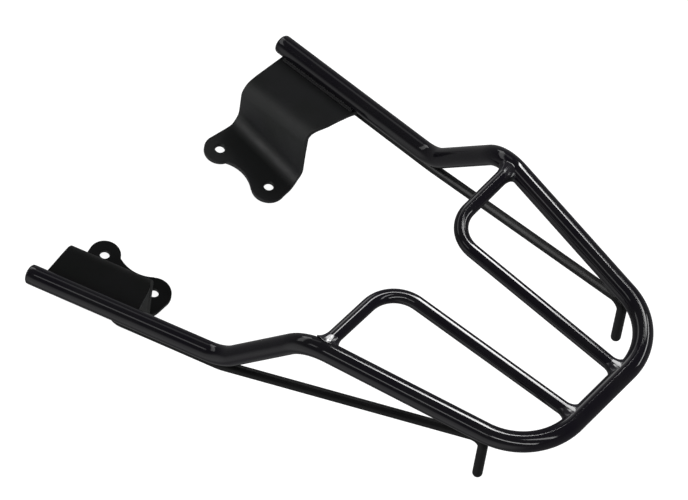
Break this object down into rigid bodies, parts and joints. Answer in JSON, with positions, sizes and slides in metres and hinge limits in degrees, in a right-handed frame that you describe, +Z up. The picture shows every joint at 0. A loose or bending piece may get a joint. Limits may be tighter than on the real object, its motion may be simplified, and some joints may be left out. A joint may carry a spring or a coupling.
{
  "type": "motorcycle luggage rack",
  "caption": "Tubular rear luggage rack for a motorcycle: bent outer tube, inner bars, hook rods under the platform and Z-bent bolt-on brackets, gloss black.",
  "frame": {"origin": "centre of the four bolt holes, on the face of the brackets that seats on the motorcycle's frame", "axes": "+Z up, out of the seating face; +Y towards the motorcycle's front; +X towards its right"},
  "size_m": [0.3922, 0.549, 0.24],
  "materials": {
    "tube_black": "gloss black paint over steel tube",
    "bracket_black": "satin black paint over steel sheet",
    "rod_black": "semi-gloss black paint over steel rod",
    "plug_black": "moulded black plastic, matt",
    "weld_black": "gloss black paint over weld beads"
  },
  "bodies": {
    "root": {"main_tube": "tube_black", "inner_bar_left": "tube_black", "inner_bar_right": "tube_black", "hook_rod_left": "rod_black", "hook_rod_right": "rod_black", "end_plug_left": "plug_black", "end_plug_right": "plug_black", "bracket_left": "bracket_black", "bracket_right": "bracket_black", "bracket_weld_left": "weld_black", "bracket_weld_right": "weld_black", "bar_front_weld_left": "weld_black", "bar_front_weld_right": "weld_black", "bar_rear_weld_left": "weld_black", "bar_rear_weld_right": "weld_black", "rod_front_weld_left": "weld_black", "rod_front_weld_right": "weld_black", "rod_rear_weld_left": "weld_black", "rod_rear_weld_right": "weld_black"}
  },
  "joints": []
}
